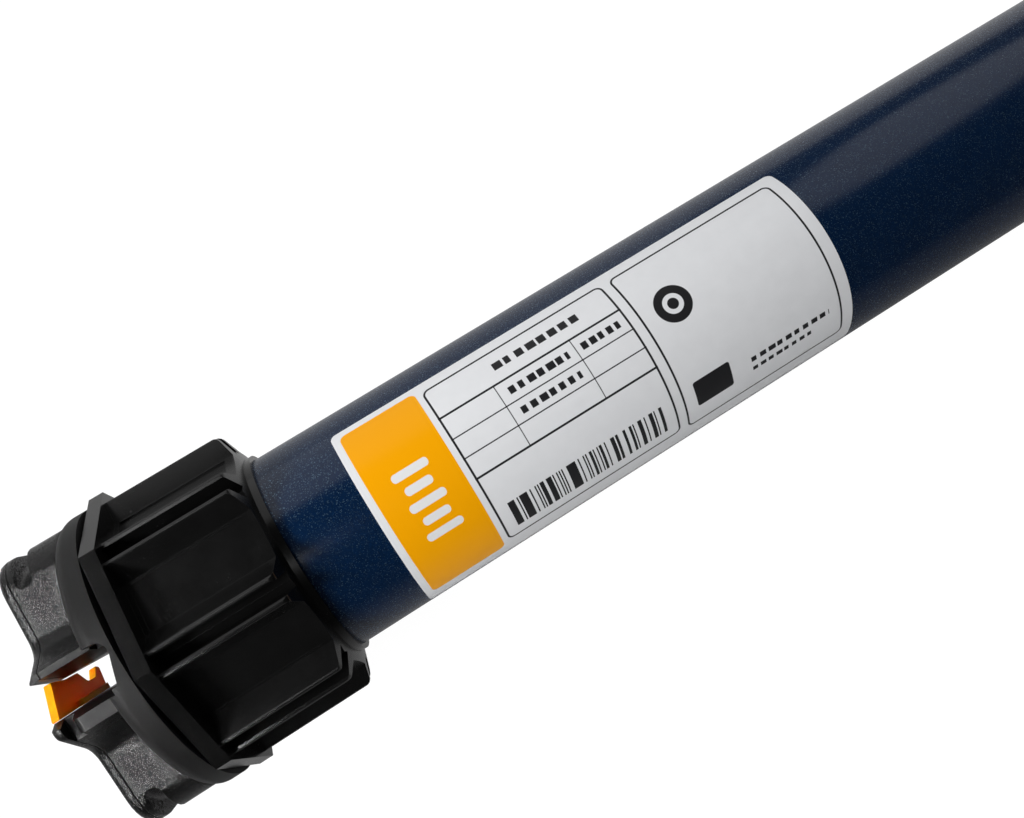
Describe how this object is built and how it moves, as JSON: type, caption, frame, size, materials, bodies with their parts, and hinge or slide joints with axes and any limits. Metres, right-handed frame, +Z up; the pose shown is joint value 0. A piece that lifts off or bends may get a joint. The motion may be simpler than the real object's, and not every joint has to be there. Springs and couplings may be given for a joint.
{
  "type": "tubular roller blind motor",
  "caption": "Tubular mains motor for roller blinds and shutters: star head with limit buttons, octagonal crown, painted tube with planetary drive, and octagonal drive wheel.",
  "frame": {"origin": "on the tube's axis at the front face of the head's collar, where the wall bracket seats", "axes": "+X along the tube from the head to the drive wheel, +Z up with a flat of the crown's octagon below, +Y completes the right-handed frame"},
  "size_m": [0.6177, 0.0626, 0.0626],
  "materials": {
    "grained_black_plastic": "grained, satin",
    "black_crown_plastic": "satin gloss",
    "navy_metallic_paint": "glossy with a fine metallic sparkle",
    "label_film": "satin printed film",
    "orange_plastic": "satin",
    "white_plastic": "matte",
    "yellow_plastic": "matte",
    "spring_steel": "bright",
    "brass": "bright",
    "bronze": "sintered",
    "ground_steel": "ground",
    "lamination_steel": "stacked sheet",
    "dark_plastic": "matte",
    "red_plastic": "matte",
    "lead_sheath_brown": "satin",
    "lead_sheath_blue": "satin",
    "capacitor_can": "drawn",
    "foam_rubber": "matte",
    "die_casting": "as cast",
    "enamelled_copper": "varnished",
    "friction_lining": "rough",
    "nylon": "matte"
  },
  "bodies": {
    "motor_body": {"head_body": "grained_black_plastic", "cable_socket": "white_plastic", "socket_pins": "brass", "motor_tube": "navy_metallic_paint", "rating_label": "label_film", "limit_spindle": "ground_steel", "limit_frame": "dark_plastic", "up_microswitch": "dark_plastic", "down_microswitch": "dark_plastic", "supply_leads": "lead_sheath_brown", "motor_leads": "lead_sheath_blue", "run_capacitor": "capacitor_can", "capacitor_rings": "foam_rubber", "rear_end_shield": "die_casting", "stator_core": "lamination_steel", "stator_windings": "enamelled_copper", "front_end_shield": "die_casting", "rotor_bushes": "bronze", "brake_magnet": "ground_steel", "brake_coil": "enamelled_copper", "brake_spring": "spring_steel", "brake_plate": "ground_steel", "ring_gear_sleeve": "ground_steel", "gearbox_end_cap": "die_casting", "output_bush": "bronze", "shaft_seal": "foam_rubber", "tube_rivets": "ground_steel", "up_button_spring": "spring_steel", "down_button_spring": "spring_steel"},
    "cover": {"button_cover": "orange_plastic"},
    "up_button": {"up_limit_button": "white_plastic"},
    "down_button": {"down_limit_button": "yellow_plastic"},
    "crown": {"crown_adapter": "black_crown_plastic"},
    "pinion": {"limit_pinion": "white_plastic"},
    "idler": {"idler_gear": "white_plastic"},
    "layshaft": {"layshaft_gear": "white_plastic"},
    "up_cam": {"up_cam_wheel": "white_plastic"},
    "down_cam": {"down_cam_wheel": "yellow_plastic"},
    "up_plunger": {"up_switch_plunger": "red_plastic"},
    "down_plunger": {"down_switch_plunger": "red_plastic"},
    "rotor": {"rotor_core": "lamination_steel", "rotor_shaft": "ground_steel", "brake_disc": "friction_lining", "first_sun": "ground_steel"},
    "armature": {"brake_armature": "ground_steel"},
    "carrier_1": {"first_carrier": "ground_steel"},
    "carrier_2": {"second_carrier": "ground_steel"},
    "output": {"output_carrier": "ground_steel", "drive_wheel": "black_crown_plastic", "wheel_screw": "ground_steel"},
    "first_planet_a_body": {"first_planet_a": "nylon"},
    "first_planet_b_body": {"first_planet_b": "nylon"},
    "first_planet_c_body": {"first_planet_c": "nylon"},
    "second_planet_a_body": {"second_planet_a": "ground_steel"},
    "second_planet_b_body": {"second_planet_b": "ground_steel"},
    "second_planet_c_body": {"second_planet_c": "ground_steel"},
    "third_planet_a_body": {"third_planet_a": "ground_steel"},
    "third_planet_b_body": {"third_planet_b": "ground_steel"},
    "third_planet_c_body": {"third_planet_c": "ground_steel"}
  },
  "joints": [
    {"name": "cover_pull", "type": "slide", "parent": "motor_body", "child": "cover", "axis": [-1, 0, 0], "range_m": [0, 0.014]},
    {"name": "up_button_press", "type": "slide", "parent": "motor_body", "child": "up_button", "axis": [1, 0, 0], "range_m": [0, 0.0015], "stiffness_N_per_m": 900, "springref_m": -0.001, "deforming": ["up_button_spring"]},
    {"name": "down_button_press", "type": "slide", "parent": "motor_body", "child": "down_button", "axis": [1, 0, 0], "range_m": [0, 0.0015], "stiffness_N_per_m": 900, "springref_m": -0.001, "deforming": ["down_button_spring"]},
    {"name": "crown_spin", "type": "hinge", "parent": "motor_body", "child": "crown", "pos_m": [0.02, 0, 0], "axis": [1, 0, 0], "continuous": true},
    {"name": "pinion_spin", "type": "hinge", "parent": "motor_body", "child": "pinion", "pos_m": [0.008, -0.01004, -0.00307], "axis": [1, 0, 0], "continuous": true},
    {"name": "idler_spin", "type": "hinge", "parent": "motor_body", "child": "idler", "pos_m": [0.022, 0, 0], "axis": [1, 0, 0], "continuous": true},
    {"name": "layshaft_spin", "type": "hinge", "parent": "motor_body", "child": "layshaft", "pos_m": [0.03, -0.01004, -0.00307], "axis": [1, 0, 0], "continuous": true},
    {"name": "up_cam_spin", "type": "hinge", "parent": "motor_body", "child": "up_cam", "pos_m": [0.03, 0, 0], "axis": [1, 0, 0], "continuous": true},
    {"name": "down_cam_spin", "type": "hinge", "parent": "motor_body", "child": "down_cam", "pos_m": [0.03, 0, 0], "axis": [1, 0, 0], "continuous": true},
    {"name": "up_plunger_press", "type": "slide", "parent": "motor_body", "child": "up_plunger", "axis": [0, 0.9563, 0.2924], "range_m": [0, 0.0004], "stiffness_N_per_m": 1500, "springref_m": -0.0004},
    {"name": "down_plunger_press", "type": "slide", "parent": "motor_body", "child": "down_plunger", "axis": [0, 0.9563, 0.2924], "range_m": [0, 0.0004], "stiffness_N_per_m": 1500, "springref_m": -0.0004},
    {"name": "rotor_spin", "type": "hinge", "parent": "motor_body", "child": "rotor", "pos_m": [0.4, 0, 0], "axis": [1, 0, 0], "continuous": true},
    {"name": "brake_release", "type": "slide", "parent": "motor_body", "child": "armature", "axis": [-1, 0, 0], "range_m": [0, 0.0005], "stiffness_N_per_m": 20000, "springref_m": -0.0005, "deforming": ["brake_spring"]},
    {"name": "carrier_1_spin", "type": "hinge", "parent": "motor_body", "child": "carrier_1", "pos_m": [0.5, 0, 0], "axis": [1, 0, 0], "continuous": true},
    {"name": "first_planet_a_spin", "type": "hinge", "parent": "carrier_1", "child": "first_planet_a_body", "pos_m": [0.5, 0.01073, 0], "axis": [1, 0, 0], "continuous": true},
    {"name": "first_planet_b_spin", "type": "hinge", "parent": "carrier_1", "child": "first_planet_b_body", "pos_m": [0.5, -0.00536, 0.00929], "axis": [1, 0, 0], "continuous": true},
    {"name": "first_planet_c_spin", "type": "hinge", "parent": "carrier_1", "child": "first_planet_c_body", "pos_m": [0.5, -0.00536, -0.00929], "axis": [1, 0, 0], "continuous": true},
    {"name": "carrier_2_spin", "type": "hinge", "parent": "motor_body", "child": "carrier_2", "pos_m": [0.5, 0, 0], "axis": [1, 0, 0], "continuous": true},
    {"name": "second_planet_a_spin", "type": "hinge", "parent": "carrier_2", "child": "second_planet_a_body", "pos_m": [0.5, 0.01073, 0], "axis": [1, 0, 0], "continuous": true},
    {"name": "second_planet_b_spin", "type": "hinge", "parent": "carrier_2", "child": "second_planet_b_body", "pos_m": [0.5, -0.00536, 0.00929], "axis": [1, 0, 0], "continuous": true},
    {"name": "second_planet_c_spin", "type": "hinge", "parent": "carrier_2", "child": "second_planet_c_body", "pos_m": [0.5, -0.00536, -0.00929], "axis": [1, 0, 0], "continuous": true},
    {"name": "output_spin", "type": "hinge", "parent": "motor_body", "child": "output", "pos_m": [0.5, 0, 0], "axis": [1, 0, 0], "continuous": true},
    {"name": "third_planet_a_spin", "type": "hinge", "parent": "output", "child": "third_planet_a_body", "pos_m": [0.5, 0.01073, 0], "axis": [1, 0, 0], "continuous": true},
    {"name": "third_planet_b_spin", "type": "hinge", "parent": "output", "child": "third_planet_b_body", "pos_m": [0.5, -0.00536, 0.00929], "axis": [1, 0, 0], "continuous": true},
    {"name": "third_planet_c_spin", "type": "hinge", "parent": "output", "child": "third_planet_c_body", "pos_m": [0.5, -0.00536, -0.00929], "axis": [1, 0, 0], "continuous": true}
  ],
  "couplings": [
    {"joint": "pinion_spin", "follows": "crown_spin", "ratio": 2.0769},
    {"joint": "idler_spin", "follows": "crown_spin", "ratio": -0.64904},
    {"joint": "layshaft_spin", "follows": "crown_spin", "ratio": 0.20282},
    {"joint": "up_cam_spin", "follows": "crown_spin", "ratio": -0.063383},
    {"joint": "down_cam_spin", "follows": "crown_spin", "ratio": -0.063383},
    {"joint": "carrier_1_spin", "follows": "rotor_spin", "ratio": 0.18182},
    {"joint": "first_planet_a_spin", "follows": "rotor_spin", "ratio": -0.46753},
    {"joint": "first_planet_b_spin", "follows": "rotor_spin", "ratio": -0.46753},
    {"joint": "first_planet_c_spin", "follows": "rotor_spin", "ratio": -0.46753},
    {"joint": "carrier_2_spin", "follows": "rotor_spin", "ratio": 0.033058},
    {"joint": "second_planet_a_spin", "follows": "rotor_spin", "ratio": -0.085006},
    {"joint": "second_planet_b_spin", "follows": "rotor_spin", "ratio": -0.085006},
    {"joint": "second_planet_c_spin", "follows": "rotor_spin", "ratio": -0.085006},
    {"joint": "output_spin", "follows": "rotor_spin", "ratio": 0.0060105},
    {"joint": "third_planet_a_spin", "follows": "rotor_spin", "ratio": -0.015456},
    {"joint": "third_planet_b_spin", "follows": "rotor_spin", "ratio": -0.015456},
    {"joint": "third_planet_c_spin", "follows": "rotor_spin", "ratio": -0.015456}
  ]
}
